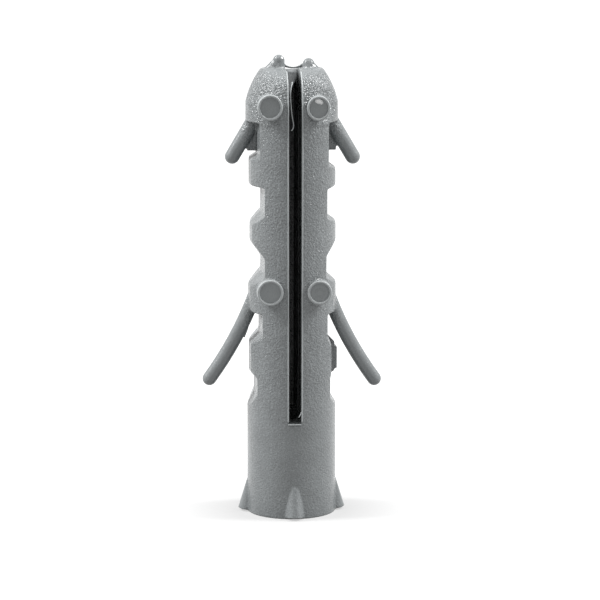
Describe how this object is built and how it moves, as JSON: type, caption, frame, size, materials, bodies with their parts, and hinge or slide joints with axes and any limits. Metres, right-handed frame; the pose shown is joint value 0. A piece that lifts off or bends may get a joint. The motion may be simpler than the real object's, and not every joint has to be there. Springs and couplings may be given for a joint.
{
  "type": "wall plug",
  "caption": "Moulded plastic wall plug, split by a long slot, with ribbed sides, spring whiskers and a solid collar round the screw hole.",
  "frame": {"origin": "centre of the mouth, on the face that the plug stands on", "axes": "+Z from the mouth to the tip, -Y out of the front slot, the whiskers lie in the XZ plane"},
  "size_m": [0.0161, 0.0096, 0.041],
  "materials": {
    "plug_plastic": "spark-eroded grain, semi-matt grey"
  },
  "bodies": {
    "root": {"wall_plug": "plug_plastic"}
  },
  "joints": []
}
